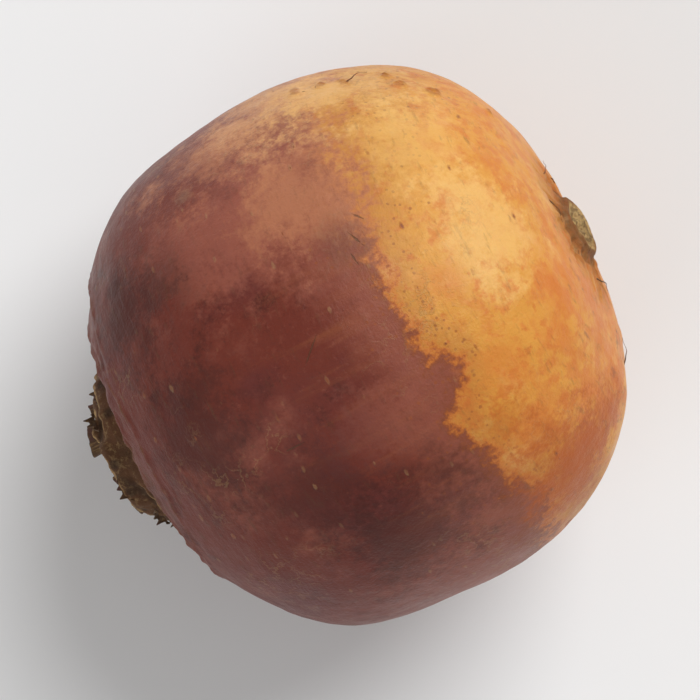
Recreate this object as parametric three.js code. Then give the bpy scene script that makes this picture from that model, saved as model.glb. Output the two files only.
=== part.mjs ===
import * as THREE from "three";

// One rutabaga as it is sold: a globe-shaped swede root, topped at the crown and trimmed at the
// taproot, lying on its side on the small flat spot that it settles on.
// Millimetres, +Z up. The root's own axis runs from the crown (-X) to the taproot (+X), and its
// taproot end is raised by restTilt. Around the axis, 0 is the +Y side and a quarter turn is up.

const degrees = THREE.MathUtils.degToRad;

// The globe.
const girthRadius = 48.3; // axis to skin at the widest
const halfLength = 45.6; // centre to either pole, before the poles are pressed in
const crownFullness = 2.6; // superellipse exponents, where 2 is a plain ellipse
const tailFullness = 2.35;
const crownDrift = [1.8, 1.2]; // how far each pole has grown off the middle line, aside and up
const tailDrift = [0.7, 1.4];
const poleLean = 0.012; // how much further the taproot end reaches on the side at leanSide
const leanSide = degrees(25);
const restTilt = degrees(9);
const flatSpotDepth = 1.5; // how much of the belly the resting spot takes off

// The cut neck with the hollow round it, and the trimmed taproot in its dimple.
const neckTop = -49.3; // the cut face, along the axis
const neckRadius = 12;
const neckBaseRadius = 17;
const hollowRadius = 20.5;
const hollowLevel = -42.5;
const dimpleRadius = 12;
const dimpleLevel = 43;
const tailRadius = 5.2;
const tailTip = 45.1;
const tailCutSlope = 0.09; // the taproot is cut across at a slant

// The mesh: segments round the axis, and rings between two points of the outline.
const segments = 76;
const neckRings = 4;
const fineRings = 3;
const plainRings = 2;

// Leaves grow one golden angle on from the last. The youngest were cut with the neck and stand on
// its face as short stubs, and the older ones left crescent ledges down the neck and the shoulder.
// Each is placed by its distance from the crown's middle, across the axis.
const goldenAngle = Math.PI * (3 - Math.sqrt(5));
const budRadius = 1.9; // the growing tip in the middle
const budRise = 1.1;
const stubCount = 6;
const stubNearest = 4.1;
const stubSpacing = 1.15;
const stubRise = 1.8;
const stubHalfDepth = 1.7; // away from the middle
const stubHalfWidth = 3.6; // round the middle
const ledgeCount = 16;
const ledgeNearest = 12.4;
const ledgeSpacing = 1.4;
const ledgeRise = 1.6; // of the innermost
const ledgeFade = 0.62; // the share that the outermost has lost
const ledgeInnerWidth = 0.9;
const ledgeOuterWidth = 1.7;
const ledgeHalfTurn = degrees(64);
const ledgeCurl = 2.2; // how far the ends of a crescent curl in

// Swellings round the girth, as [number, share of the radius, turn of the first].
const girthSwellings = [
  [2, 0.013, degrees(2)],
  [3, 0.008, degrees(6)],
  [5, 0.005, degrees(40)],
];
// Swellings that also travel along the root, as [number, share, turn, length of one swelling].
const travellingSwellings = [
  [2, 0.006, degrees(70), 46],
  [4, 0.004, degrees(10), 33],
];
// Folds that gather at the taproot, and the two furrows that the side roots grow from.
const tailFolds = [7, 0.035, degrees(12)];
const tailFoldPlace = [40.5, 3.2]; // the middle and half length of the folds, along the axis
const furrowTurn = degrees(18);
const furrowDepth = 0.022;
const furrowHalfWidth = degrees(9);

const { smoothstep } = THREE.MathUtils;
const bell = (x) => Math.exp(-x * x);
const wrapAngle = (angle) => Math.atan2(Math.sin(angle), Math.cos(angle));

// Radius of the plain globe at a distance along the axis.
function globeRadius(along) {
  const fullness = along < 0 ? crownFullness : tailFullness;
  return girthRadius * Math.pow(1 - Math.pow(Math.abs(along) / halfLength, fullness), 1 / fullness);
}

// The outline as points of [radius, distance along the axis, rings up to the next point].
function outlinePoints() {
  const neck = [
    [0, neckTop + 0.4],
    [neckRadius * 0.35, neckTop + 0.3],
    [neckRadius * 0.7, neckTop + 0.1],
    [neckRadius, neckTop + 0.5],
    [neckRadius + 1.9, neckTop + 2.4],
    [neckBaseRadius - 1.5, hollowLevel - 2.2],
  ];
  const hollow = [
    [neckBaseRadius, hollowLevel - 0.4],
    [hollowRadius, hollowLevel],
    [hollowRadius + 4, hollowLevel + 0.3],
  ];
  const globe = [-39.9, -35.5, -29, -20, -9, 2, 14, 25, 33.5, 39.5].map((along) => [
    globeRadius(along),
    along,
  ]);
  const tail = [
    [dimpleRadius * 1.6, dimpleLevel - 0.8],
    [dimpleRadius, dimpleLevel],
    [dimpleRadius * 0.68, dimpleLevel + 0.2],
    [tailRadius + 1.1, dimpleLevel + 0.9],
    [tailRadius, tailTip - 0.5],
    [tailRadius * 0.7, tailTip],
    [0, tailTip],
  ];
  return [
    ...neck.map((point) => [...point, neckRings]),
    ...hollow.map((point) => [...point, neckRings]),
    ...globe.map((point) => [...point, plainRings]),
    ...tail.map((point) => [...point, fineRings]),
  ];
}

// The rings of the mesh, each with its place on the outline and its outward direction.
function outlineRings() {
  const points = outlinePoints();
  const curve = new THREE.SplineCurve(
    points.map(([radius, along]) => new THREE.Vector2(radius, along)),
  );
  const spans = points.length - 1;
  const shares = [];
  for (let span = 0; span < spans; span++) {
    const steps = points[span][2];
    for (let step = 0; step < steps; step++) shares.push((span + step / steps) / spans);
  }
  shares.push(1);

  return shares.map((share) => {
    const place = curve.getPoint(share);
    const tangent = curve.getTangent(share);
    const isPole = share === 0 || share === 1;
    const outward = isPole ? [0, Math.sign(place.y)] : [tangent.y, -tangent.x];
    return { place, outward: new THREE.Vector2(...outward) };
  });
}

// Height of the growing tip and the cut leaf stubs, bent round it, over the neck's face.
function stubHeight(radius, around) {
  let height = budRise * bell(radius / budRadius);
  for (let stub = 0; stub < stubCount; stub++) {
    const away = stubNearest + stubSpacing * stub;
    const across = (radius - away) / stubHalfDepth;
    const beside = (wrapAngle(around - stub * goldenAngle) * away) / stubHalfWidth;
    height = Math.max(height, stubRise * bell(across ** 2 + beside ** 2));
  }
  return height;
}

// Height of the leaf scars over the skin: each crescent is a ledge, steeper towards the crown.
function ledgeHeight(radius, around) {
  let height = 0;
  for (let ledge = 0; ledge < ledgeCount; ledge++) {
    const turn = wrapAngle(around - (stubCount + ledge) * goldenAngle) / ledgeHalfTurn;
    if (Math.abs(turn) >= 1) continue;
    const past = radius - ledgeNearest - ledgeSpacing * ledge + ledgeCurl * turn * turn;
    const across = bell(past / (past < 0 ? ledgeInnerWidth : ledgeOuterWidth));
    const rise = ledgeRise * (1 - (ledgeFade * ledge) / ledgeCount);
    height = Math.max(height, rise * across * (1 - turn ** 4));
  }
  return height;
}

// How much wider or narrower than its outline the root has grown at a place on its skin.
function growth(along, around) {
  const onGlobe = smoothstep(along, -43, -26) * (1 - smoothstep(along, 32, 44));
  let share = 1;
  for (const [count, size, turn] of girthSwellings) {
    share += onGlobe * size * Math.cos(count * (around - turn));
  }
  for (const [count, size, turn, length] of travellingSwellings) {
    share += onGlobe * size * Math.cos(count * (around - turn) + (2 * Math.PI * along) / length);
  }
  const [folds, foldSize, foldTurn] = tailFolds;
  const [foldMiddle, foldHalfLength] = tailFoldPlace;
  const atFolds = bell((along - foldMiddle) / foldHalfLength);
  share += foldSize * atFolds * Math.cos(folds * (around - foldTurn));
  for (const furrow of [furrowTurn, furrowTurn + Math.PI]) {
    const across = bell(wrapAngle(around - furrow) / furrowHalfWidth);
    share -= furrowDepth * across * smoothstep(along, 4, 26) * (1 - smoothstep(along, 37, 44));
  }
  return share;
}

// The root in its own frame: a lathed outline whose points are moved by the growth above.
function rootGeometry() {
  const rings = outlineRings();
  const geometry = new THREE.LatheGeometry(
    rings.map(({ place }) => place),
    segments,
  );
  const position = geometry.getAttribute("position");
  for (let index = 0; index < position.count; index++) {
    const { place, outward } = rings[index % rings.length];
    const segment = Math.floor(index / rings.length) % segments;
    const around = (segment / segments) * 2 * Math.PI;
    const onCrown = place.y < 0;
    const leafLift = Math.max(stubHeight(place.x, around), ledgeHeight(place.x, around));
    const lift = onCrown ? leafLift : 0;
    const along = place.y + outward.y * lift;
    const radius = (place.x + outward.x * lift) * growth(along, around);
    const [aside, up] = along < 0 ? crownDrift : tailDrift;
    const drift = Math.pow(Math.abs(along) / halfLength, 3);
    const cutSlope = tailCutSlope * smoothstep(along, dimpleLevel + 0.4, tailTip);
    position.setXYZ(
      index,
      along + poleLean * radius * Math.cos(around - leanSide) - cutSlope * radius * Math.sin(around),
      radius * Math.cos(around) + aside * drift,
      radius * Math.sin(around) + up * drift,
    );
  }
  geometry.deleteAttribute("normal");
  geometry.deleteAttribute("uv");
  return geometry;
}

// Lays the root down: tilts it, presses the flat spot into the belly, and puts the origin under
// the middle of its box, at the level of the flat spot.
function settle(geometry) {
  geometry.rotateY(-restTilt);
  geometry.computeBoundingBox();
  const { min, max } = geometry.boundingBox;
  const floor = min.z + flatSpotDepth;
  const position = geometry.getAttribute("position");
  for (let index = 0; index < position.count; index++) {
    position.setXYZ(
      index,
      position.getX(index) - (min.x + max.x) / 2,
      position.getY(index) - (min.y + max.y) / 2,
      Math.max(0, position.getZ(index) - floor),
    );
  }
  return geometry;
}

const skin = new THREE.MeshStandardMaterial({ color: 0xa8623c, roughness: 0.55, metalness: 0 });
const root = new THREE.Mesh(settle(rootGeometry()), skin);
root.name = "rutabaga_root";

const rutabaga = new THREE.Group();
rutabaga.add(root);

export default rutabaga;
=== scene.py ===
import random
from math import atan2, cos, exp, hypot, pi, radians, sin, sqrt

import bmesh
import bpy
from mathutils import Matrix, Vector, noise
from mathutils.bvhtree import BVHTree


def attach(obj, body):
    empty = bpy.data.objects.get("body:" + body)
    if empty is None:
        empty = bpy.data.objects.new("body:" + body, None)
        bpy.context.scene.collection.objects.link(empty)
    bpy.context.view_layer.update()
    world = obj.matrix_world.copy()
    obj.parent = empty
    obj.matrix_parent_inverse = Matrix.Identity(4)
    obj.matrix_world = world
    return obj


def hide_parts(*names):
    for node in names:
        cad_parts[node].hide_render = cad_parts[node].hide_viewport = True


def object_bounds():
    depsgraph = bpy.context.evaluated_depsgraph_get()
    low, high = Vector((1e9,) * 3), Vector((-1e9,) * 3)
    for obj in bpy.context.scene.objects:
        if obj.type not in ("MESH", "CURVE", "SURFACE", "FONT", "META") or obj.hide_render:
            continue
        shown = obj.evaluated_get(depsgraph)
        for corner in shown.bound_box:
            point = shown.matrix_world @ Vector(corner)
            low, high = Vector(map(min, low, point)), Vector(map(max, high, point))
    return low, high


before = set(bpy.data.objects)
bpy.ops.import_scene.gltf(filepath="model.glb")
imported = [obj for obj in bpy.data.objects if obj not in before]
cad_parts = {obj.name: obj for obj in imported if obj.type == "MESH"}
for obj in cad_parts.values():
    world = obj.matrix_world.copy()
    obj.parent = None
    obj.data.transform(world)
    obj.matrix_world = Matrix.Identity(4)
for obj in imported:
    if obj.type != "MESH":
        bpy.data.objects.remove(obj)  # one body, "root", and one node, "rutabaga_root", in metres
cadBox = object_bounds()
print("loaded the frame")

mm = 0.001
goldenAngle = pi * (3 - sqrt(5))

# How the root lies and how its solid grew. Its own axis runs from the crown (-X) to the taproot
# (+X), and it is measured in mm from its own middle. Round the axis, 0 is +Y and a quarter is up.
root = {
    "middle": Vector((3.24, -0.14, 47.06)) * mm,  # in the row frame
    "tilt": radians(9),  # how far the taproot end is raised
    "girthRadius": 48.3,
    "halfLength": 45.6,
    "crownFullness": 2.6,  # superellipse exponents
    "tailFullness": 2.35,
    "crownDrift": (1.8, 1.2),  # how far the poles have grown off the line
    "tailDrift": (0.7, 1.4),
    "lean": 0.012,
    "leanSide": radians(25),
    "swellings": [  # number, share of the radius and turn
        (2, 0.013, radians(2)),
        (3, 0.008, radians(6)),
        (5, 0.005, radians(40)),
    ],
    "neckRadius": 12,
    "faceLevel": -49.3,  # the cut across the neck
    "tailRadius": 5.2,
    "tailTip": 45.1,
}
unTilt = Matrix.Rotation(root["tilt"], 4, "Y")
rowToRoot = Matrix.Scale(1 / mm, 4) @ unTilt @ Matrix.Translation(-root["middle"])
rootToRow = rowToRoot.inverted()


def smoothStep(low, high, value):
    share = min(1, max(0, (value - low) / (high - low)))
    return share * share * (3 - 2 * share)


def bell(value):
    return exp(-value * value)


def wrapAngle(angle):
    return atan2(sin(angle), cos(angle))


def middleAt(along):
    # How far aside and up the root has grown off its line.
    drift = root["crownDrift"] if along < 0 else root["tailDrift"]
    share = (abs(along) / root["halfLength"]) ** 3
    return drift[0] * share, drift[1] * share


def measure(place):
    # Distance along the axis, distance out from it, and angle, as they were before the swellings.
    middle = middleAt(place.x)
    aside, up = place.y - middle[0], place.z - middle[1]
    out, angle = hypot(aside, up), atan2(up, aside)
    along = place.x - root["lean"] * out * cos(angle - root["leanSide"])
    onGlobe = smoothStep(-43, -26, along) * (1 - smoothStep(32, 44, along))
    swelling = sum(size * cos(count * (angle - turn)) for count, size, turn in root["swellings"])
    return along, out / (1 + onGlobe * swelling), angle


def globeRadius(along):
    fullness = root["crownFullness"] if along < 0 else root["tailFullness"]
    return root["girthRadius"] * (1 - (abs(along) / root["halfLength"]) ** fullness) ** (1 / fullness)


def onGlobeAt(along, angle):
    radius = globeRadius(along)
    return Vector((along, radius * cos(angle), radius * sin(angle)))


# Small steps that the modelling repeats.
def deselectAll():
    if bpy.context.object and bpy.context.object.mode != "OBJECT":
        bpy.ops.object.mode_set(mode="OBJECT")
    bpy.ops.object.select_all(action="DESELECT")


def makeActive(piece):
    deselectAll()
    piece.select_set(True)
    bpy.context.view_layer.objects.active = piece


def named(piece, name):
    piece.name = piece.data.name = name
    return piece


def newPiece(name, add, **settings):
    deselectAll()
    add(**settings)
    return named(bpy.context.object, name)


def newDisc(name, corners, radius):
    add = bpy.ops.mesh.primitive_circle_add
    return newPiece(name, add, vertices=corners, radius=radius, fill_type="NGON")


def addToScene(piece):
    bpy.context.scene.collection.objects.link(piece)
    return piece


def copyOf(shape, name):
    piece = shape.copy()
    piece.data = shape.data.copy()
    return addToScene(named(piece, name))


def applyModifier(piece, kind, **settings):
    makeActive(piece)
    modifier = piece.modifiers.new(kind.lower(), kind)
    for key, value in settings.items():
        setattr(modifier, key, value)
    bpy.ops.object.modifier_apply(modifier=modifier.name)


def subdivide(piece, levels):
    applyModifier(piece, "SUBSURF", levels=levels, render_levels=levels)


def bend(piece, angle):
    applyModifier(piece, "SIMPLE_DEFORM", deform_method="BEND", deform_axis="Z", angle=angle)


def roughen(piece, texture, height):
    applyModifier(piece, "DISPLACE", texture=texture, strength=height, mid_level=0.5)


def settle(piece, matrix):
    # Puts a piece at its place, with the place in its mesh and the object at the origin.
    piece.matrix_world = matrix
    makeActive(piece)
    bpy.ops.object.transform_apply(location=True, rotation=True, scale=True)


def everyFace(centre):
    return True


def editFaces(piece, chosen, *steps):
    # Selects the faces whose centre is chosen, and takes edit mode steps on them.
    makeActive(piece)
    bpy.ops.object.mode_set(mode="EDIT")
    bpy.ops.mesh.select_mode(type="FACE")
    bpy.ops.mesh.select_all(action="DESELECT")
    shape = bmesh.from_edit_mesh(piece.data)
    for face in shape.faces:
        face.select_set(chosen(face.calc_center_median()))
    bmesh.update_edit_mesh(piece.data)
    for step in steps:
        step()
    bpy.ops.object.mode_set(mode="OBJECT")


def markPoints(piece, name, values):
    piece.data.attributes.new(name, "FLOAT", "POINT").data.foreach_set("value", values)


def cloudTexture(name, size):
    texture = bpy.data.textures.new(name, "CLOUDS")
    texture.noise_scale = size
    texture.noise_depth = 2
    return texture


def finishPiece(piece, material):
    piece.data.materials.clear()
    piece.data.materials.append(material)
    makeActive(piece)
    bpy.ops.object.shade_smooth()
    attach(piece, "root")


# The skin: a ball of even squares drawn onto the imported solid, and then carved finer.
body = {
    "cuts": (8, 9),  # 9 x 10 faces along each edge of the starting cube
    "startRadius": 56,
    "fineCrown": (31, 17.5),  # out to where the squares are split once, and twice
    "fineTail": (15, 9),
    "lumps": (19 * mm, 0.8 * mm),  # size and height
    "dimples": (5.5 * mm, 0.24 * mm),
    "wrinkleHeight": 0.2,
    "wrinkleShares": (0.25, 0.9, 0.7),  # everywhere, and more at the shoulder and by the taproot
    "wrinkleWaves": (0.34, 0.75),  # broad and fine, in waves to a mm
    "sideScarHeight": 0.5,
    "nickDepth": 0.55,
}
leaf = {  # leaf scars and stubs, placed as the solid's are
    "stubs": 6,
    "stubNearest": 4.1,
    "stubSpacing": 1.15,
    "ledges": 16,
    "ledgeNearest": 12.4,
    "ledgeSpacing": 1.4,
    "ledgeHalfTurn": radians(64),
    "ledgeCurl": 2.2,
    "ledgeFade": 0.5,
    "ledgeReach": 36,  # no ledge lies further out
    "lip": (0.2, 0.6),  # how far past its ledge, and half width
    "lipHeight": 0.5,
    "groove": (-1.2, 0.6),
    "grooveDepth": 0.45,
    "veins": (1.5, 0.5),
    "veinWaves": 8,
    "veinDepth": 0.3,
    "ribHeight": 0.4,
    "bases": 10,  # leaf bases cut flush with the face, between the stubs
    "baseNearest": 2.6,
    "baseSpacing": 0.86,
    "baseTurn": 1.9,
    "baseSize": (1.7, 2.9),  # half depth and half width
    "baseRim": 0.28,
    "baseSunk": 0.3,
    "crackDepth": 0.5,
}
sideRoot = {  # scars of the side roots, in two furrows
    "furrow": radians(18),
    "count": 7,
    "from": 12,
    "to": 40,
    "radius": 1.25,
    "strayAlong": 1.8,
    "strayAround": 0.08,
    "seed": 11,
}
nicks = {  # healed scrapes, on the sides and the belly
    "count": 16,
    "size": (0.8, 1.9),
    "along": (-30, 38),
    "around": (165, 375),  # in degrees
    "seed": 5,
}


def ledgeAt(out, angle):
    # How far a place is on a leaf scar's lip, in the groove above it, and on its row of veins.
    lip, groove, veins = 0, 0, 0
    if out < root["neckRadius"] - 2 or out > leaf["ledgeReach"]:
        return lip, groove, veins
    for number in range(leaf["ledges"]):
        turn = wrapAngle(angle - (leaf["stubs"] + number) * goldenAngle) / leaf["ledgeHalfTurn"]
        if abs(turn) >= 1:
            continue
        past = out - leaf["ledgeNearest"] - leaf["ledgeSpacing"] * number + leaf["ledgeCurl"] * turn**2
        share = (1 - turn**4) * (1 - leaf["ledgeFade"] * number / leaf["ledges"])
        onLip, inGroove, onVeins = (
            share * bell((past - middle) / halfWidth)
            for middle, halfWidth in (leaf["lip"], leaf["groove"], leaf["veins"])
        )
        lip, groove = max(lip, onLip), max(groove, inGroove)
        veins = max(veins, onVeins * abs(sin(turn * leaf["veinWaves"])) ** 6)
    return lip, groove, veins


def sideRootSpots():
    rng = random.Random(sideRoot["seed"])
    start, end, stray = sideRoot["from"], sideRoot["to"], sideRoot["strayAlong"]
    spots = []
    for furrow in (sideRoot["furrow"], sideRoot["furrow"] + pi):
        for number in range(sideRoot["count"]):
            share = number / (sideRoot["count"] - 1)
            along = start + (end - start) * share + rng.uniform(-stray, stray)
            angle = furrow + rng.uniform(-sideRoot["strayAround"], sideRoot["strayAround"])
            spots.append((onGlobeAt(min(along, end), angle), rng.uniform(0.5, 1.15)))
    return spots


def nickSpots():
    rng = random.Random(nicks["seed"])
    spots = []
    for _ in range(nicks["count"]):
        place = onGlobeAt(rng.uniform(*nicks["along"]), radians(rng.uniform(*nicks["around"])))
        spots.append((place, rng.uniform(*nicks["size"]), rng.uniform(0.4, 1)))
    return spots


sideRoots = sideRootSpots()
nickPlaces = nickSpots()


def sideScarAt(place):
    # A side root's scar: a ring that stands up round a small pit.
    ring, pit = 0, 0
    for spot, size in sideRoots:
        apart = place - spot
        apart.x *= 1.7
        away = apart.length / (sideRoot["radius"] * size)
        if away < 3:
            ring = max(ring, bell((away - 1) / 0.45))
            pit = max(pit, bell(away / 0.5))
    return ring, pit


def nickAt(place):
    best = 0
    for spot, size, narrow in nickPlaces:
        apart = place - spot
        if apart.length > 3 * size:
            continue
        apart.x /= narrow
        best = max(best, bell(apart.length / size))
    return best


def wrinkleAt(place, along):
    # Creases that run round the root, deepest at the shoulder and by the taproot.
    everywhere, atShoulder, byTail = body["wrinkleShares"]
    broadWave, fineWave = body["wrinkleWaves"]
    deep = everywhere + atShoulder * smoothStep(-16, -38, along) + byTail * smoothStep(24, 40, along)
    deep *= 0.75 + 1.1 * noise.noise(place * 0.045 + Vector((7, 0, 0)))
    wobble = 3.4 * noise.noise(place * 0.05)
    broad = noise.noise(Vector((place.x * broadWave + wobble, place.y * 0.05, place.z * 0.05)))
    fine = noise.noise(Vector((place.x * fineWave + wobble * 1.7, place.y * 0.09, place.z * 0.09)))
    return deep * (broad + 0.5 * fine)


def baseEdgeAt(out, angle):
    # How near a place on the cut face is to the edge of a leaf base, and how far inside one it is.
    edge, inside = 0, 0
    halfDepth, halfWidth = leaf["baseSize"]
    for number in range(leaf["bases"]):
        middle = leaf["baseNearest"] + leaf["baseSpacing"] * number
        turn = wrapAngle(angle - number * goldenAngle - leaf["baseTurn"])
        share = 1 - hypot((out - middle) / halfDepth, turn * middle / halfWidth)
        edge = max(edge, bell(share / 0.14))
        inside = max(inside, smoothStep(0.1, 0.5, share))
    return edge, inside


def crownRelief(place, out, angle):
    lip, groove, veins = ledgeAt(out, angle)
    frayed = 0.6 + 0.8 * noise.noise(place * 0.7)
    height = leaf["lipHeight"] * lip * frayed - leaf["grooveDepth"] * groove - leaf["veinDepth"] * veins
    ribs = noise.noise(Vector((cos(angle) * 9, sin(angle) * 9, out * 0.12)))
    onShoulder = smoothStep(11, 14, out) * (1 - smoothStep(26, 34, out))
    height += leaf["ribHeight"] * ribs * onShoulder
    edge = 0
    if out < root["neckRadius"] + 0.5:
        edge, inside = baseEdgeAt(out, angle)
        height += leaf["baseRim"] * edge - leaf["baseSunk"] * inside
        height += 0.6 * noise.noise(place * 0.4) + 0.25 * noise.noise(place * 1.1)
        crack = abs(noise.noise(Vector((cos(angle) * 2.2, sin(angle) * 2.2, out * 0.16))))
        height -= leaf["crackDepth"] * (1 - smoothStep(0, 0.07, crack)) * smoothStep(3, 6, out)
    return height, lip, max(groove, veins), edge


tail = {  # the trimmed taproot and the skin gathered round it
    "crackDepth": 0.5,
    "gatherHeight": 0.9,
    "flakeHeight": 0.55,
    "unevenness": 0.16,  # how far the cut is from round, as a share
    "torn": (0.75, 0.5),  # height of the coarse and the fine fibres of the cut
    "woodRing": 0.62,  # where the ring of wood lies, as a share of the cut
    "woodHeight": 0.35,
    "cutSunk": 0.55,
    "rimHeight": 0.4,
}


def tailRelief(place, out, angle):
    # Cracks and gathers round the taproot, and the torn fibres of its cut end.
    cut = root["tailRadius"]
    around = Vector((cos(angle), sin(angle), 0))
    crack = abs(noise.noise(around * 2.6 + Vector((0, 0, out * 0.07))))
    cracked = (1 - smoothStep(0, 0.09, crack)) * smoothStep(cut + 1, cut + 3, out)
    height = -tail["crackDepth"] * cracked * (1 - smoothStep(12, 18, out))
    gathers = noise.noise(around * 4.5 + Vector((0, 0, out * 0.1)))
    height += tail["gatherHeight"] * gathers * smoothStep(cut, cut + 2, out) * (1 - smoothStep(9, 18, out))
    flakes = noise.noise(around * 2 + Vector((0, 0, out * 0.75)))
    height += tail["flakeHeight"] * flakes * smoothStep(cut, cut + 1, out) * (1 - smoothStep(10, 15, out))
    edge = cut * (1 + tail["unevenness"] * noise.noise(around * 1.3 + Vector((0, 0, 4))))
    inside = 1 - smoothStep(edge - 0.9, edge, out)
    coarse, fine = tail["torn"]
    torn = coarse * noise.noise(place * 0.8) + fine * noise.noise(place * 2.1)
    ring = bell((out - tail["woodRing"] * cut) / 0.5)
    height += inside * (torn + tail["woodHeight"] * ring - tail["cutSunk"])
    return height + tail["rimHeight"] * bell((out - edge) / 0.5)


def smoothTarget():
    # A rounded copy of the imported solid, which the skin is drawn onto.
    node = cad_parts["rutabaga_root"]
    target = copyOf(node, "target")
    makeActive(target)
    bpy.ops.object.mode_set(mode="EDIT")
    bpy.ops.mesh.select_all(action="SELECT")
    bpy.ops.mesh.remove_doubles(threshold=0.01 * mm)
    bpy.ops.mesh.tris_convert_to_quads(face_threshold=radians(60), shape_threshold=radians(60))
    bpy.ops.object.mode_set(mode="OBJECT")
    subdivide(target, 2)
    return target


def makeBall():
    # A cube split into squares and cast to a ball, with smaller squares at the crown and taproot.
    size = 2 * root["girthRadius"] * mm
    ball = newPiece("rutabaga_skin", bpy.ops.mesh.primitive_cube_add, size=size)
    for count in body["cuts"]:
        editFaces(ball, everyFace, lambda count=count: bpy.ops.mesh.subdivide(number_cuts=count))
    radius = body["startRadius"] * mm
    applyModifier(ball, "CAST", cast_type="SPHERE", factor=1, use_radius_as_size=False, size=radius)
    eighth = Matrix.Rotation(pi / 4, 4, "X")  # the cube's edge goes on top, clear of the poles
    settle(ball, Matrix.Translation(root["middle"]) @ unTilt.inverted() @ eighth)
    for crownReach, tailReach in zip(body["fineCrown"], body["fineTail"]):

        def nearPole(centre, crownReach=crownReach, tailReach=tailReach):
            place = (rowToRoot @ centre) * (root["halfLength"] / body["startRadius"])
            return hypot(place.y, place.z) < (crownReach if place.x < 0 else tailReach)

        editFaces(ball, nearPole, lambda: bpy.ops.mesh.subdivide(number_cuts=1))
    return ball


markNames = ("lip", "groove", "edge", "ring", "pit", "nick")


def carve(skin):
    # Moves each point by the fine relief, and marks what the finish has to know about.
    mesh = skin.data
    marks = {name: [] for name in markNames}
    heights = []
    for vertex in mesh.vertices:
        place = rowToRoot @ vertex.co
        along, out, angle = measure(place)
        ring, pit = sideScarAt(place)
        nick = nickAt(place)
        height = body["wrinkleHeight"] * wrinkleAt(place, along)
        height += body["sideScarHeight"] * (ring - 1.5 * pit) - body["nickDepth"] * nick
        lip, groove, edge = 0, 0, 0
        if along < -24:
            crownHeight, lip, groove, edge = crownRelief(place, out, angle)
            height += crownHeight
        elif along > 36:
            height += tailRelief(place, out, angle)
        heights.append(height)
        for name, value in zip(marks, (lip, groove, edge, ring, pit, nick)):
            marks[name].append(value)
    normals = [vertex.normal.copy() for vertex in mesh.vertices]
    for vertex, normal, height in zip(mesh.vertices, normals, heights):
        onFloor = smoothStep(2.5 * mm, 0.4 * mm, vertex.co.z)
        vertex.co += normal * height * mm * (1 - onFloor)
        vertex.co.z = max(0, vertex.co.z)
    for name, values in marks.items():
        markPoints(skin, name, values)
    mesh.update()


def makeSkin():
    skin = makeBall()
    target = smoothTarget()
    applyModifier(skin, "SHRINKWRAP", target=target, wrap_method="PROJECT", use_negative_direction=True)
    bpy.data.objects.remove(target)
    for name in ("lumps", "dimples"):
        size, height = body[name]
        roughen(skin, cloudTexture(name, size), height)
    carve(skin)
    return skin


skin = makeSkin()
print("skin:", sum(len(face.vertices) - 2 for face in skin.data.polygons), "triangles")


crown = {
    "stubSize": (7.4, 3.5, 3),  # width, depth and height of a leaf stub, in mm
    "stubRings": ((0.35, 0.93), (0.35, 0.98), (0.26, 1.05), (0.04, 0.97)),  # rise, widening
    "pithRings": ((0.28, -0.05), (0.22, 0.34), (0.4, 0.1)),  # how far in and down, in mm
    "stubSunk": 1.8,
    "stubSlant": 0.3,  # how far a cut may slope, each way
    "stubBend": radians(80),
    "firstStub": 0.74,  # size of the innermost, and how much each next one adds
    "stubGrowth": 0.07,
    "stubRoughness": 0.5 * mm,
    "scales": 9,  # papery scales, on the innermost ledges
    "scaleLedges": 6,
    "scaleSpacing": 0.6,  # as a share of the ledges' own
    "secondTurn": 2.6,  # further round, where a ledge has a second one
    "scaleSize": (7.5, 2.6),  # width and height
    "scaleBend": radians(55),
    "scaleThickness": 0.16 * mm,
    "scaleRoughness": 0.7 * mm,
    "seed": 23,
}


def crownSpot(reach, level, out, angle):
    # Where a line along the axis meets the skin, at a distance out and an angle round the crown.
    aside, up = middleAt(level)
    start = Vector((-70, aside + out * cos(angle), up + out * sin(angle)))
    towards = (rootToRow.to_3x3() @ Vector((1, 0, 0))).normalized()
    hit = reach.ray_cast(rootToRow @ start, towards)
    return rowToRoot @ hit[0]


def crownMatrix(spot, angle, lean, twist, size):
    # A piece's own X goes round the axis, its Y out from it, and its Z away from the crown.
    sideways = Vector((0, -sin(angle), cos(angle)))
    outwards = Vector((0, cos(angle), sin(angle)))
    turned = Matrix((sideways, outwards, Vector((-1, 0, 0)))).transposed().to_4x4()
    leaning = Matrix.Rotation(-lean, 4, "X") @ Matrix.Rotation(twist, 4, "Z")
    return rootToRow @ Matrix.Translation(spot) @ turned @ leaning @ Matrix.Diagonal((*size, 1))


def makeStubShape():
    # The base of a leaf stalk, cut across: a bent oval whose pith has dried and sunk.
    width, depth, height = crown["stubSize"]
    stub = newDisc("leaf_stub", 28, 0.5)

    def raiseBy(share, wide):
        bpy.ops.mesh.extrude_region_move(TRANSFORM_OT_translate={"value": (0, 0, share * height)})
        bpy.ops.transform.resize(value=(wide, wide, 1))

    def sinkBy(inset, down):
        bpy.ops.mesh.inset(thickness=inset)
        bpy.ops.transform.translate(value=(0, 0, -down))

    editFaces(
        stub,
        everyFace,
        lambda: bpy.ops.transform.resize(value=(width, depth, 1)),
        *(lambda ring=ring: raiseBy(*ring) for ring in crown["stubRings"]),
        *(lambda ring=ring: sinkBy(*ring) for ring in crown["pithRings"]),
        bpy.ops.mesh.poke,
    )
    cut = []
    for vertex in stub.data.vertices:
        inward = hypot(vertex.co.x / width, vertex.co.y / depth) * 2
        cut.append((1 - smoothStep(0.68, 0.92, inward)) if vertex.co.z > 0.8 * height else 0)
    markPoints(stub, "cut", cut)
    subdivide(stub, 1)
    bend(stub, crown["stubBend"])
    return stub


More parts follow.
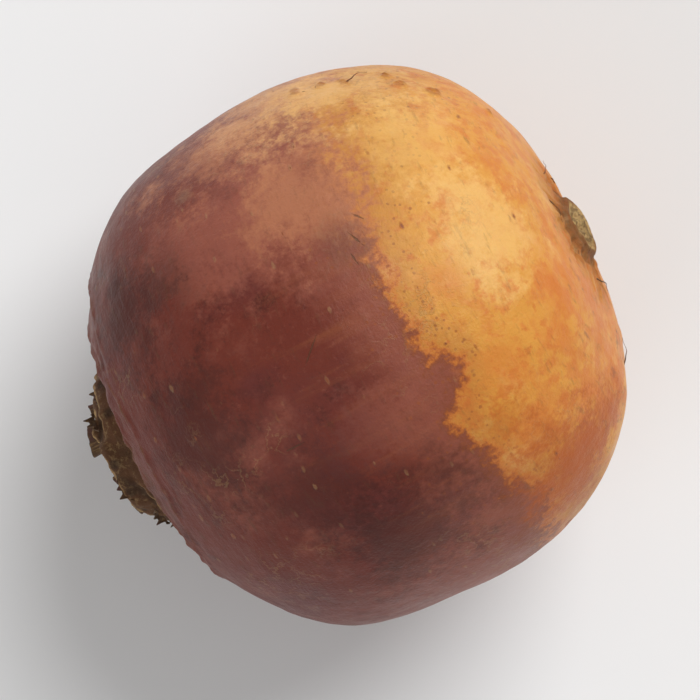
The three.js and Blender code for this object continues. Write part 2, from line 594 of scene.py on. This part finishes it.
def makeScaleShape():
    # The papery rag of an old leaf's base: a strip bent round the neck, with a torn upper edge.
    width, height = crown["scaleSize"]
    rng = random.Random(crown["seed"] + 1)
    add = bpy.ops.mesh.primitive_grid_add
    scale = newPiece("leaf_scale", add, x_subdivisions=22, y_subdivisions=6, size=1)
    for vertex in scale.data.vertices:
        across, up = vertex.co.x, vertex.co.y + 0.5
        coarse, fine = noise.noise(Vector((across * 7, 3, 0))), noise.noise(Vector((across * 19, 5, 0)))
        torn = 0.55 + 0.9 * coarse + 0.35 * fine
        tall = height * max(0.12, torn) * (1 - (2 * across) ** 4)
        vertex.co = Vector((across * width, 0.35 * up * up + 0.05 * rng.uniform(-1, 1) * up, up * tall))
    bend(scale, crown["scaleBend"])
    return scale


def makeStubs(reach, rough, rng):
    # The youngest leaf stalks, each cut off at its own slant.
    shape = makeStubShape()
    stubs = []
    for number in range(leaf["stubs"]):
        angle = number * goldenAngle
        out = leaf["stubNearest"] + leaf["stubSpacing"] * number
        spot = crownSpot(reach, root["faceLevel"], out, angle) + Vector((crown["stubSunk"], 0, 0))
        size = crown["firstStub"] + crown["stubGrowth"] * number
        lean, twist = rng.uniform(-0.02, 0.2), rng.uniform(-0.15, 0.15)
        stub = copyOf(shape, f"leaf_stub_{number + 1}")
        slant = [rng.uniform(-1, 1) * crown["stubSlant"] for _ in range(2)]
        for vertex in stub.data.vertices:
            share = max(0, vertex.co.z / crown["stubSize"][2])
            vertex.co.z += share * (slant[0] * vertex.co.x + slant[1] * vertex.co.y)
        size = (size, size * rng.uniform(0.85, 1.1), rng.uniform(0.75, 1.1))
        settle(stub, crownMatrix(spot, angle, lean, twist, size))
        roughen(stub, rough, crown["stubRoughness"])
        stubs.append(stub)
    bpy.data.objects.remove(shape)
    return stubs


def makeScales(reach, rough, rng):
    # Rags that older leaves left on the ledges of the neck.
    shape = makeScaleShape()
    scales = []
    for number in range(crown["scales"]):
        ledge = number % crown["scaleLedges"]
        turn = rng.uniform(-0.35, 0.35)
        angle = (leaf["stubs"] + ledge) * goldenAngle + turn * leaf["ledgeHalfTurn"]
        angle += crown["secondTurn"] if number > ledge else 0
        spacing = leaf["ledgeSpacing"] * ledge * crown["scaleSpacing"]
        out = leaf["ledgeNearest"] + spacing - leaf["ledgeCurl"] * turn**2
        spot = crownSpot(reach, -45, out, angle) + Vector((0.5, 0, 0))
        lean = rng.uniform(0.15, 0.6)
        scale = copyOf(shape, f"leaf_scale_{number + 1}")
        mirrored = rng.choice((-1, 1))
        size = (mirrored * rng.uniform(0.6, 1.1), 1, rng.uniform(0.7, 1.1))
        settle(scale, crownMatrix(spot, angle, lean, rng.uniform(-0.1, 0.1), size))
        roughen(scale, rough, crown["scaleRoughness"])
        applyModifier(scale, "SOLIDIFY", thickness=crown["scaleThickness"], offset=0)
        subdivide(scale, 1)
        scales.append(scale)
    bpy.data.objects.remove(shape)
    return scales


def makeCrownPieces(reach):
    rng = random.Random(crown["seed"])
    rough = cloudTexture("rough", 1.6 * mm)
    stubs = makeStubs(reach, rough, rng)
    return stubs, makeScales(reach, rough, rng)


rootlet = {
    "length": 8.5,
    "thickness": 0.6,
    "joints": 10,
    "taper": 0.86,  # from one joint to the next
    "crook": 0.9,
    "bend": radians(55),
    "byTail": 11,
    "bySide": 8,
    "seed": 41,
}


def makeRootletShape():
    # A dried hair of root: thick where it leaves the skin, crooked, and bent over towards +X.
    hair = newDisc("rootlet", 6, rootlet["thickness"] / 2)
    length, bent = rootlet["length"], rootlet["bend"]
    rise = length / rootlet["joints"]

    def growOn():
        bpy.ops.mesh.extrude_region_move(TRANSFORM_OT_translate={"value": (0, 0, rise)})
        bpy.ops.transform.resize(value=(rootlet["taper"], rootlet["taper"], 1))

    editFaces(hair, everyFace, *[growOn] * rootlet["joints"])
    for vertex in hair.data.vertices:
        up = vertex.co.z
        turn = bent * up / length
        sway = Vector((noise.noise((up * 0.5, 0, 2)), noise.noise((up * 0.6, 4, 0)), 0))
        vertex.co.z = length * sin(turn) / bent
        aside = Vector((length * (1 - cos(turn)) / bent, 0, 0))
        vertex.co += rootlet["crook"] * (smoothStep(0, 2, up) * sway) + aside
    subdivide(hair, 1)
    return hair


def makeRootlets(reach):
    rng = random.Random(rootlet["seed"])
    shape = makeRootletShape()
    starts = []
    for number in range(rootlet["byTail"]):
        angle, out = number * goldenAngle, rng.uniform(6, 14)
        starts.append(Vector((root["tailTip"] + 1, out * cos(angle), out * sin(angle) + 1)))
    for spot, _ in rng.sample(sideRoots, rootlet["bySide"]):
        starts.append(spot * 1.04)
    hairs = []
    for number, start in enumerate(starts):
        spot, normal, _, _ = reach.find_nearest(rootToRow @ start)
        spot, normal = rowToRoot @ spot, (unTilt.to_3x3() @ normal).normalized()
        aside = Vector([rng.uniform(-1, 1) for _ in range(3)]).cross(normal).normalized()
        lift = rng.uniform(0.25, 0.55)
        start = (normal * lift + aside * sqrt(1 - lift**2)).normalized()
        across = aside * lift - normal * sqrt(1 - lift**2)
        turned = Matrix((across, start.cross(across), start)).transposed().to_4x4()
        size = rng.uniform(0.35, 0.8)
        thick = rng.uniform(0.8, 1.6)
        placed = Matrix.Translation(spot - 0.5 * normal) @ turned @ Matrix.Diagonal((size, size, size, 1))
        hair = copyOf(shape, f"rootlet_{number + 1}")
        for vertex in hair.data.vertices:
            vertex.co.y *= thick
        settle(hair, rootToRow @ placed)
        hairs.append(hair)
    bpy.data.objects.remove(shape)
    return hairs


skinReach = BVHTree.FromPolygons([v.co for v in skin.data.vertices], [p.vertices for p in skin.data.polygons])


def seenAt(x, y):
    # The place on the skin that is seen from straight above at x and y, in mm.
    spot = skinReach.ray_cast(Vector((x * mm, y * mm, 0.2)), Vector((0, 0, -1)))[0]
    return rowToRoot @ spot


stubs, scales = makeCrownPieces(skinReach)
rootlets = makeRootlets(skinReach)
print(len(stubs), "leaf stubs,", len(scales), "scales and", len(rootlets), "rootlets")


def tint(name):
    # A colour of tints, as Blender wants it.
    shares = [int(tints[name][i : i + 2], 16) / 255 for i in (0, 2, 4)]
    return tuple((c / 12.92 if c <= 0.04045 else ((c + 0.055) / 1.055) ** 2.4) for c in shares) + (1,)


# A socket that can be reckoned with: each operator adds a Math node, and node() adds any other.
class Field:
    def __init__(self, tree, socket):
        self.tree = tree
        self.socket = socket

    def node(self, kind, settings, inputs, output=0):
        made = self.tree.nodes.new(kind)
        for key, value in settings.items():
            setattr(made, key, value)
        for key, value in inputs.items():
            if isinstance(value, Field):
                self.tree.links.new(value.socket, made.inputs[key])
            else:
                made.inputs[key].default_value = value
        return Field(self.tree, made.outputs[output])

    def math(self, operation, *values):
        return self.node("ShaderNodeMath", {"operation": operation}, dict(enumerate(values)))

    def __add__(self, other):
        return self.math("ADD", self, other)

    def __radd__(self, other):
        return self.math("ADD", other, self)

    def __sub__(self, other):
        return self.math("SUBTRACT", self, other)

    def __rsub__(self, other):
        return self.math("SUBTRACT", other, self)

    def __mul__(self, other):
        return self.math("MULTIPLY", self, other)

    def __rmul__(self, other):
        return self.math("MULTIPLY", other, self)

    def __truediv__(self, other):
        return self.math("DIVIDE", self, other)

    def __abs__(self):
        return self.math("ABSOLUTE", self)


def step(field, low, high):
    # 0 below low and 1 above high, smooth between. Low may be the higher number.
    ends = (0, 1) if low < high else (1, 0)
    edges = dict(enumerate((field, min(low, high), max(low, high), *ends)))
    return field.node("ShaderNodeMapRange", {"interpolation_type": "SMOOTHSTEP"}, edges)


def vector(field, operation, *values, output=0):
    inputs = dict(enumerate((field, *values)))
    return field.node("ShaderNodeVectorMath", {"operation": operation}, inputs, output)


def speckle(place, size, detail=3, roughness=0.55, warp=0):
    # Noise about 0, mostly within 0.25 of it, with features of that size in mm.
    inputs = {"Vector": place, "Scale": 1 / size, "Detail": detail}
    inputs |= {"Roughness": roughness, "Distortion": warp}
    return place.node("ShaderNodeTexNoise", {}, inputs) - 0.5


def cells(place, size, output=0):
    return place.node("ShaderNodeTexVoronoi", {}, {"Vector": place, "Scale": 1 / size}, output)


def dots(place, size, reach, chance):
    # Scattered dots in cells of that size in mm: how far each reaches, and the share of cells with one.
    pick = parts(cells(place, size, output=1))[0]
    near = cells(place, size) + 0.3 * speckle(place, 0.35 * size, 3)
    return step(near, reach, 0.5 * reach) * step(pick - chance, 0.03, -0.03)


def stretch(place, *scale):
    return vector(place, "MULTIPLY", scale)


def capped(field):
    return field.math("MINIMUM", field, 1)


def away(place, spot):
    return vector(place, "DISTANCE", tuple(spot), output=1)


def lay(under, colour, share):
    # A colour laid over another by a share. Each is a name in tints, four numbers or a Field.
    under, colour = (tint(c) if isinstance(c, str) else c for c in (under, colour))
    mix = {"data_type": "RGBA", "clamp_factor": True}
    return share.node("ShaderNodeMix", mix, {0: share, 6: under, 7: colour}, 2)


def attribute(field, name):
    return field.node("ShaderNodeAttribute", {"attribute_name": name}, {}, 2)


def parts(place):
    split = place.node("ShaderNodeSeparateXYZ", {}, {0: place}).socket.node
    return [Field(place.tree, output) for output in split.outputs]


def newMaterial(name):
    material = bpy.data.materials.new(name)
    material.use_nodes = True
    return material, material.node_tree.nodes["Principled BSDF"]


def rootPlace(material):
    # Object coordinates in metres, turned and centred to the root's own axis, in mm.
    tree = material.node_tree
    place = Field(tree, tree.nodes.new("ShaderNodeTexCoord").outputs["Object"])
    shift = -(unTilt @ root["middle"]) / mm
    turned = {"Vector": place, "Location": shift, "Rotation": (0, root["tilt"], 0), "Scale": (1 / mm,) * 3}
    return place.node("ShaderNodeMapping", {"vector_type": "POINT"}, turned)


def lengthwise(place, along, width, length):
    # A place stretched from pole to pole, for streaks of that width at the girth, in mm.
    spoke = vector(stretch(place, 0, 1, 1), "NORMALIZE")
    _, aside, up = parts(spoke)
    reach = root["girthRadius"] / width
    return place.node("ShaderNodeCombineXYZ", {}, {0: along / length, 1: aside * reach, 2: up * reach})


def connect(shader, **sockets):
    for name, field in sockets.items():
        field.tree.links.new(field.socket, shader.inputs[name.replace("_", " ")])


def bump(height):
    # A relief given in mm, as a normal.
    return height.node("ShaderNodeBump", {}, {"Strength": 1, "Distance": mm, "Height": height})


tints = {  # as rrggbb
    "yellow": "d6963f",
    "paleYellow": "e6b468",
    "orange": "cb7330",
    "deepOrange": "b1581c",
    "russet": "96501f",
    "bronze": "84462a",
    "maroon": "6c2d20",
    "darkMaroon": "401710",
    "plum": "5b2929",
    "rose": "9c5a48",
    "roseTan": "b47552",
    "peach": "d09766",
    "olive": "6d5733",
    "taupe": "6a4c3a",
    "dryCut": "a98656",
    "cork": "ab8a5e",
    "darkCork": "59402a",
    "cutFlesh": "c2a06a",
    "soilAndShade": "3f2d20",
    # soil colour, also laid as painted shade in the grooves and the hollow round the neck
    "stalk": "93734a",
    "stalkPurple": "5a3030",
    "stalkRim": "4a3524",
    "pith": "8b6c42",
}
# Colour patches on the upper side, as seen from above: colour, x, y, size, share. Some carry painted light:
# the pale ones along the top edge are partly painted light and sheen, and the dark maroon ones at the left
# and bottom and the deep orange ones at the bottom are partly painted shade.
colourAndLightPatches = [
    # Along the top edge: partly the skin's colour and partly painted light, a brighter top and a painted
    # sheen.
    ("rose", -6, 30, 22, 0.6),
    ("roseTan", -5, 43, 16, 0.7),
    ("peach", 8, 46, 19, 0.7),
    ("paleYellow", 18, 43, 15, 0.6),
    ("roseTan", 5, 27, 13, 0.7),
    ("rose", -2, -14, 9, 0.5),
    # At the left and bottom: partly the skin's darker colour and partly painted shade.
    ("darkMaroon", -32, 24, 15, 0.75),
    ("darkMaroon", -30, -2, 16, 0.6),
    ("darkMaroon", -18, -20, 15, 0.5),
    ("darkMaroon", -4, -34, 18, 0.6),
    ("taupe", -13.6, 37.7, 3, 0.5),
    ("taupe", 7, 17, 7, 0.3),
    ("plum", -6, -14, 9, 0.35),
    ("paleYellow", 31, 8, 14, 0.75),
    ("paleYellow", 26, 28, 13, 0.5),
    ("orange", 40, -7, 10, 0.5),
    ("orange", 41, -20, 11, 0.45),
    ("orange", 22, -15, 8, 0.5),
    ("orange", 23, -27, 10, 0.7),
    ("deepOrange", 19, -23, 6, 0.4),
    ("orange", 20, 3, 5, 0.45),
    # Deep orange at the bottom: partly the skin's colour and partly painted shade.
    ("deepOrange", 27, -37, 14, 0.9),
    ("deepOrange", 34, -32, 11, 0.6),
    ("deepOrange", 25, -33, 12, 0.75),
]
# Where the border between the colours lies nearer to the taproot: x, y, width, by how much.
tongues = [
    (18, 38, 15, -2.5),
    (12, 15, 10, 1.5),
    (10, 46, 14, -7),
    (16, -11, 10, 6),
    (12, -29, 11, 3),
    (16, -39, 13, 5),
]
# Thin scuffs, as seen from above: x, y, half length, half width, turn in degrees.
scuffs = [
    (9.7, 17, 2.4, 0.26, 62),
    (8, 13.8, 1.6, 0.22, 48),
    (12, 20, 1.3, 0.2, 75),
    (-6.2, 3, 3.4, 0.16, 100),
    (-16.4, -10.5, 2.6, 0.17, 140),
]
border = {  # between the purple and the yellow, in mm
    "along": 14,
    "broadWaves": 5,  # strength of the noise that bends it
    "smallWaves": 4.5,
    "wander": 60,  # more of it, on the underside
    "softness": 2.2,  # half width of the change
    "softer": (4.5, 5, 3),  # added to it at +Y, at -Y and on the underside
}


def borderAt(place, up):
    # How far along the root the yellow begins.
    level = border["along"] + border["broadWaves"] * speckle(place, 24, 2)
    level += border["smallWaves"] * speckle(place, 8, 4, 0.6)
    wander = border["wander"] * speckle(vector(place, "ADD", (0, 60, 20)), 24, 3, 0.5, 0.4)
    level += wander * step(up, 16, -14)
    for x, y, width, reach in tongues:
        level += reach * step(away(place, seenAt(x, y)), width, 0)
    return level


def yellownessAt(place, along, aside, up):
    # Below 0 on the purple crown half and above it on the yellow taproot half.
    left, right, below = border["softer"]
    softness = border["softness"] + left * step(aside, 4, 40) + right * step(aside, -22, -46)
    softness += below * step(up, 0, -30)
    freckles = 1.5 * speckle(place, 1.5, 4, 0.65) + 1.2 * speckle(place, 3.6, 3)
    return (along - borderAt(place, up)) / softness + 2 * freckles


def yellowSide(place, along, aside):
    clouds = speckle(place, 14, 4, 0.6)
    blotches = speckle(stretch(place, 1.3, 0.8, 0.8), 6, 5, 0.66, 0.5)
    # More orange towards the taproot, and towards -Y, the lower side in the camera's view: that part is
    # partly the skin's colour and partly painted shade.
    warmth = 0.3 * step(along, 20, 44) + 0.15 * step(aside, 10, -40)
    fine = speckle(place, 0.8, 4, 0.7)
    colour = lay("yellow", "paleYellow", 0.85 * step(clouds + 0.3 * fine, 0, 0.2))
    colour = lay(colour, "orange", 0.62 * step(blotches + 0.35 * warmth, 0.05, 0.28) + 0.45 * warmth)
    spots = speckle(place, 3.4, 4, 0.6)
    colour = lay(colour, "orange", 0.65 * step(spots + 0.3 * warmth, 0.04, 0.19))
    colour = lay(colour, "orange", 0.3 * step(speckle(place, 1.7, 3, 0.6), 0.03, 0.18))
    colour = lay(colour, "russet", 0.35 * step(speckle(place, 3.2, 5, 0.7), 0.1, 0.26))
    return lay(colour, "russet", 0.3 * step(fine, 0.08, 0.3))


def purpleSide(place, along):
    clouds = speckle(place, 15, 4, 0.6)
    dark = speckle(place, 9, 5, 0.68)
    fine = speckle(place, 0.7, 4, 0.7)
    streaks = speckle(lengthwise(place, along, 2.6, 26), 1, 4, 0.6)
    colour = lay("maroon", "rose", 0.55 * step(clouds + 0.25 * fine, 0.02, 0.26))
    colour = lay(colour, "plum", 0.5 * step(speckle(place, 21, 3), 0, 0.2))
    colour = lay(colour, "darkMaroon", 0.75 * step(dark + 0.25 * fine, 0.03, 0.26))
    colour = lay(colour, "bronze", 0.65 * step(streaks + 0.012 * along, -0.03, 0.28))
    colour = lay(colour, "rose", 0.4 * step(speckle(place, 1.6, 5, 0.75), 0.05, 0.28))
    return lay(colour, "darkMaroon", 0.45 * step(fine, 0.06, 0.28))


def layColourAndLightPatches(colour, place):
    ragged = 1.5 * speckle(place, 4, 5, 0.7) + 1.1 * speckle(place, 1.1, 4, 0.65)
    ragged += 1.6 * speckle(place, 12, 2)
    # Lays the patches: the skin's colour, with painted light along the top and painted shade at the left and
    # bottom.
    for name, x, y, size, share in colourAndLightPatches:
        edge = away(place, seenAt(x, y)) / size + ragged
        colour = lay(colour, name, share * step(edge, 1.05, 0.2))
    return colour


def scuffMarks(place):
    marks = 0
    for x, y, halfLength, halfWidth, turn in scuffs:
        spot = seenAt(x, y)
        lying = spot.to_track_quat("Z", "X").to_matrix() @ Matrix.Rotation(radians(turn), 3, "Z")
        size = (halfLength, halfWidth, 3)
        frameOf = {"Vector": place, "Location": spot, "Rotation": lying.to_euler(), "Scale": size}
        local = place.node("ShaderNodeMapping", {"vector_type": "TEXTURE"}, frameOf)
        mark = step(vector(local, "LENGTH", output=1) + 1.6 * speckle(place, 0.9), 1, 0.4)
        marks = mark.math("MAXIMUM", mark, marks)
    return marks


def crownFinish(colour, place, along, out, lip, groove, edge):
    # The neck, its leaf scars and the cut across it. Returns the colour and how corky it is.
    here = step(along, -28, -36)
    grain = speckle(place, 1.1, 5, 0.7)
    ragged = speckle(place, 5, 4, 0.6)
    nearNeck = step(out + 14 * ragged, 28, 15) * here
    neck = step(out + 5 * ragged, 19, 14.5) * step(along, -37, -40)
    scarring = step(lip + 0.9 * grain + 0.9 * speckle(place, 4, 3), 0.3, 0.75) * here
    furrowed = step(groove + 0.3 * grain, 0.2, 0.7) * here
    colour = lay(colour, "olive", 0.45 * nearNeck)
    colour = lay(colour, "darkMaroon", 0.4 * nearNeck * step(speckle(place, 8, 3), -0.05, 0.15))
    colour = lay(colour, "darkCork", 0.5 * neck)
    colour = lay(colour, "cork", 0.75 * neck * step(grain + 0.5 * speckle(place, 2.6, 4), 0.02, 0.25))
    faded = 0.2 + 0.8 * step(out, 25, 15)
    colour = lay(colour, "cork", 0.75 * scarring * faded)
    ribs = speckle(lengthwise(place, along, 1.3, 30), 1, 4, 0.65)
    colour = lay(colour, "darkCork", 0.6 * scarring * step(ribs, 0, 0.2))
    # Soil in the grooves above the leaf scars: partly dirt and partly painted shade in the grooves.
    colour = lay(colour, "soilAndShade", 0.7 * furrowed * faded)
    onFace = step(out + 1.6 * speckle(place, 2.5, 3), 12.8, 11.6) * step(along, -47, -48.3)
    fibres = speckle(stretch(place, 0.2, 1, 1), 0.8, 5, 0.7)
    flesh = lay("cutFlesh", "dryCut", step(speckle(place, 4, 4), -0.12, 0.12))
    flesh = lay(flesh, "taupe", 0.45 * step(speckle(place, 6, 3), 0, 0.18))
    flesh = lay(flesh, "darkCork", 0.7 * step(fibres, 0.02, 0.22))
    flesh = lay(flesh, "darkCork", 0.7 * step(edge + 1.6 * ragged + 0.6 * grain, 0.35, 0.9))
    colour = lay(colour, flesh, onFace)
    colour = lay(colour, "cork", 0.5 * onFace * step(out, 9.4, 11.6))
    return colour, capped(0.6 * nearNeck + scarring + neck + onFace)


def tailFinish(colour, place, along, out):
    # The same for the trimmed end of the taproot and the brown skin gathered round it.
    cut = root["tailRadius"]
    here = step(along, 36, 41)
    ragged = speckle(place, 3.4, 5, 0.7)
    fibres = speckle(lengthwise(place, along, 5, 60), 1, 4, 0.65)
    rings = speckle(stretch(place, 2.5, 1, 1), 2.4, 5, 0.7)
    around = here * step(out + 14 * ragged + 5 * fibres, 19, 5)
    colour = lay(colour, "russet", 0.7 * around)
    colour = lay(colour, "cork", 0.65 * here * step(out + 8 * ragged, 13, 8) * step(rings, 0.02, 0.14))
    colour = lay(colour, "darkCork", 0.6 * here * step(out + 6 * ragged + 3 * fibres, cut + 4, cut + 0.4))
    onCut = step(along, 43.6, 44.4) * step(out + 2.2 * ragged, cut + 0.3, cut - 0.7)
    flesh = lay("cutFlesh", "dryCut", step(speckle(place, 1.3, 4), -0.05, 0.15))
    wood = abs(out - tail["woodRing"] * cut + 1.4 * speckle(place, 1.6, 2))
    flesh = lay(flesh, "darkCork", 0.6 * step(wood, 0.7, 0.1))
    flesh = lay(flesh, "darkCork", 0.7 * step(speckle(place, 0.6, 4, 0.7), 0.02, 0.2))
    colour = lay(colour, flesh, onCut)
    return colour, capped(0.8 * around + onCut)


surface = {  # shine and fine relief of the skin, with heights in mm
    "roughness": 0.43,
    "corkyRougher": 0.3,
    "soilRougher": 0.2,
    "coat": 0.06,
    "coatRoughness": 0.3,
    "specular": 0.2,
    "throughLight": 0.07,
    "throughReach": (1, 0.45, 0.2),
    "throughScale": 2.5 * mm,
    "creases": 0.22,
    "grain": 0.13,
    "mottle": 0.26,
    "pores": 0.06,
    "net": 0.06,
    "scuffs": 0.12,
    "corkGrain": 0.34,
    "corkRibs": 0.26,
}


def skinMaterial():
    material, shader = newMaterial("rutabaga skin")
    place = rootPlace(material)
    along, aside, up = parts(place)
    lip, groove, edge, ring, pit, nick = (attribute(place, name) for name in markNames)
    flatPlace = stretch(place, 0, 1, 1)
    crownOut = away(flatPlace, (0, *middleAt(-47)))
    tailOut = away(flatPlace, (0, *middleAt(root["tailTip"])))
    girthwise = stretch(place, 1, 0.2, 0.2)  # for marks that run round the root

    change = yellownessAt(place, along, aside, up)
    yellowness = step(change, -1.7, 1.9)
    colour = yellowSide(place, along, aside)
    middle = lay("bronze", "orange", step(yellowness, 0.3, 0.8))
    # Rose-tan towards +Y, the lit top in the camera's view: partly the skin's colour and partly painted
    # light.
    middle = lay(middle, "roseTan", 0.7 * step(aside, 4, 26))
    colour = lay(middle, colour, step(yellowness, 0.5, 1))
    purple = lay(purpleSide(place, along), "rose", 0.6 * step(change, -6, -0.5))
    colour = lay(purple, colour, step(yellowness, 0.02, 0.55))
    strayed = dots(place, 0.9, 0.4, 0.5 - 0.12 * change) + dots(place, 1.7, 0.25, 0.4 - 0.09 * change)
    colour = lay(colour, "bronze", 0.5 * strayed * step(change, 0.3, 1.5))
    colour = lay(colour, "bronze", 0.28 * step(change, 4.2, 1) * step(change, 0, 1.2))
    flecks = dots(place, 1.1, 0.36, 0.45 + 0.12 * change)
    colour = lay(colour, "russet", 0.42 * flecks * (1 - yellowness))
    colour = layColourAndLightPatches(colour, place)

    # Breathing pores, as short dashes round the root, and creases with dust in them.
    porePlace = stretch(place, 1, 0.42, 0.42)
    pores = dots(porePlace, 1.9, 0.21, 0.32) * step(speckle(place, 5, 2), -0.16, 0.12)
    creases = speckle(girthwise, 0.9, 4, 0.6)
    creaseMask = 0.5 + 0.6 * step(along, -12, -32) + 0.5 * step(along, 26, 40)
    net = step(abs(speckle(place, 6, 5, 0.6)), 0.02, 0) * step(speckle(place, 17, 2), 0.02, 0.2)
    colour = lay(colour, "russet", 0.6 * pores * yellowness)
    colour = lay(colour, "cork", 0.34 * pores * (1 - yellowness))
    colour = lay(colour, "bronze", 0.8 * dots(porePlace, 1.9, 0.09, 0.32))
    colour = lay(colour, "cork", 0.3 * net)
    colour = lay(colour, "darkCork", 0.4 * step(creases, 0.06, 0.24) * creaseMask)

    colour, corkyCrown = crownFinish(colour, place, along, crownOut, lip, groove, edge)
    colour, corkyTail = tailFinish(colour, place, along, tailOut)
    marks = scuffMarks(place)
    colour = lay(colour, "darkCork", 0.6 * marks)
    healed = nick + 0.7 * speckle(place, 1.2, 4, 0.65)
    colour = lay(colour, "russet", 0.75 * step(healed, 0.12, 0.4))
    colour = lay(colour, "dryCut", 0.7 * step(healed, 0.5, 0.85))
    corked = ring + 0.7 * speckle(place, 1.2, 4, 0.65)
    colour = lay(colour, "russet", 0.5 * step(corked, 0.2, 0.8))
    colour = lay(colour, "darkCork", 0.6 * step(pit + 0.4 * speckle(place, 0.9), 0.2, 0.8))
    # Soil dust everywhere, thickest in the hollow round the neck: there the smooth darkening is partly dirt
    # and partly painted shade.
    hollows = step(abs(crownOut - 18.6), 4, 0.6) * step(along, -38, -41)
    soilAndShade = step(speckle(place, 2.2, 5, 0.7) + 0.25 * hollows, 0.12, 0.3) * (0.15 + 0.75 * hollows)
    colour = lay(colour, "soilAndShade", 0.8 * soilAndShade)

    corky = capped(corkyCrown + corkyTail)
    rough = surface["roughness"] + 0.3 * speckle(place, 5, 4) + 0.22 * speckle(place, 0.8, 3)
    rough += surface["corkyRougher"] * corky + surface["soilRougher"] * soilAndShade
    relief = surface["creases"] * creases * creaseMask + surface["grain"] * speckle(place, 0.45, 4, 0.6)
    relief += surface["mottle"] * speckle(place, 2.4, 3)
    relief += surface["pores"] * pores + surface["net"] * net
    relief = relief + surface["corkGrain"] * corky * speckle(place, 0.9, 5, 0.7) - surface["scuffs"] * marks
    ribs = speckle(lengthwise(place, along, 1.4, 12), 1, 4, 0.6)
    relief += surface["corkRibs"] * corky * ribs
    coat = surface["coat"] * (1 - corky)
    connect(shader, Base_Color=colour, Roughness=rough, Coat_Weight=coat, Normal=bump(relief))
    shader.inputs["Coat Roughness"].default_value = surface["coatRoughness"]
    shader.inputs["Specular IOR Level"].default_value = surface["specular"]
    shader.inputs["Subsurface Weight"].default_value = surface["throughLight"]
    shader.inputs["Subsurface Radius"].default_value = surface["throughReach"]
    shader.inputs["Subsurface Scale"].default_value = surface["throughScale"]
    return material


def stubMaterial():
    # A dried leaf stalk, cut across: brown sides, a dark rim, and pale pith with darker veins.
    material, shader = newMaterial("dried leaf stub")
    place = rootPlace(material)
    cut = attribute(place, "cut")
    ribs = speckle(stretch(place, 0.15, 1, 1), 0.7, 4, 0.65)
    colour = lay("darkCork", "stalk", step(ribs, -0.02, 0.2))
    colour = lay(colour, "stalkPurple", 0.7 * step(speckle(place, 3.5, 3), 0, 0.15))
    pith = lay("cutFlesh", "pith", step(speckle(place, 1.2, 4), -0.08, 0.16))
    pith = lay(pith, "stalkRim", 0.8 * step(cells(place, 0.95), 0.3, 0.14))
    colour = lay(colour, "stalkRim", 0.85 * step(abs(cut - 0.35), 0.35, 0.1))
    colour = lay(colour, pith, step(cut, 0.4, 0.75))
    relief = 0.25 * ribs + 0.12 * speckle(place, 0.4, 4)
    connect(shader, Base_Color=colour, Roughness=0.78 + 0.3 * ribs, Normal=bump(relief))
    return material


def scaleMaterial():
    # Papery brown rags of old leaf bases.
    material, shader = newMaterial("papery scale")
    place = rootPlace(material)
    ribs = speckle(stretch(place, 0.12, 1, 1), 0.5, 4, 0.65)
    colour = lay("darkCork", "stalk", 0.8 * step(ribs, -0.02, 0.22))
    colour = lay(colour, "stalkPurple", 0.6 * step(speckle(place, 2.5, 3), 0, 0.18))
    connect(shader, Base_Color=colour, Roughness=0.72 + 0.4 * ribs, Normal=bump(0.15 * ribs))
    return material


def rootletMaterial():
    material, shader = newMaterial("dried rootlet")
    place = rootPlace(material)
    colour = lay("darkCork", "russet", 0.8 * step(speckle(place, 1.4, 4), -0.1, 0.15))
    connect(shader, Base_Color=colour, Normal=bump(0.08 * speckle(place, 0.3, 3)))
    shader.inputs["Roughness"].default_value = 0.75
    return material


finishPiece(skin, skinMaterial())
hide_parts("rutabaga_root")
for pieces, finish in ((stubs, stubMaterial()), (scales, scaleMaterial()), (rootlets, rootletMaterial())):
    for piece in pieces:
        finishPiece(piece, finish)
print("finishes")

view = {
    "roll": radians(27.7),  # the root's axis points this far above the picture's right
    "lens": 300,
    "fill": 0.77,  # how much of the picture the root takes up
    "lights": (  # strength, and where from: the picture's right and top, and up from the floor
        ("key", 2.3, (0.4, 0.6, 0.75)),
        ("fill", 0.5, (-0.5, -0.5, 0.6)),
    ),
    "lightWidth": radians(38),
    "horizon": 0.86,
    "zenith": 0.36,
}


def makeStage():
    add = bpy.ops.mesh.primitive_plane_add
    floor = newPiece("floor", add, size=12, location=(0, 0, -0.2 * mm))
    material, shader = newMaterial("plain floor")
    shader.inputs["Base Color"].default_value = (0.85, 0.85, 0.85, 1)
    shader.inputs["Roughness"].default_value = 0.7
    floor.data.materials.append(material)


def addSun(name, towards, strength):
    # A broad soft light that comes from a direction.
    light = bpy.data.lights.new(name, "SUN")
    light.energy = strength
    light.angle = view["lightWidth"]
    lamp = bpy.data.objects.new(name, light)
    lamp.rotation_euler = towards.to_track_quat("Z", "Y").to_euler()
    addToScene(lamp)


def makeWorld():
    # A plain white room, brightest at the level of the floor's far edge.
    world = bpy.data.worlds.new("studio")
    world.use_nodes = True
    tree = world.node_tree
    direction = Field(tree, tree.nodes.new("ShaderNodeTexCoord").outputs["Generated"])
    height = parts(direction)[2]
    near, far = ((view[name],) * 3 + (1,) for name in ("horizon", "zenith"))
    connect(tree.nodes["Background"], Color=lay(near, far, step(height, 0.06, 0.35)))
    bpy.context.scene.world = world


def makeLightAndCamera():
    low, high = cadBox
    centre = (low + high) / 2
    roll = view["roll"]
    pictureUp = Vector((sin(roll), cos(roll), 0))
    pictureRight = Vector((cos(roll), -sin(roll), 0))
    overhead = Vector((0, 0, 1))
    for name, strength, (right, top, up) in view["lights"]:
        addSun(name, pictureUp * top + overhead * up + pictureRight * right, strength)

    camera = bpy.data.cameras.new("camera")
    camera.lens = view["lens"]
    eye = addToScene(bpy.data.objects.new("camera", camera))
    width = max(high.x - low.x, high.y - low.y) / view["fill"]
    eye.location = centre + overhead * width * camera.lens / camera.sensor_width
    eye.rotation_euler = (0, 0, -roll)
    bpy.context.scene.camera = eye


makeStage()
makeWorld()
makeLightAndCamera()
bpy.context.scene.view_settings.view_transform = "Standard"
print("floor, light and camera")
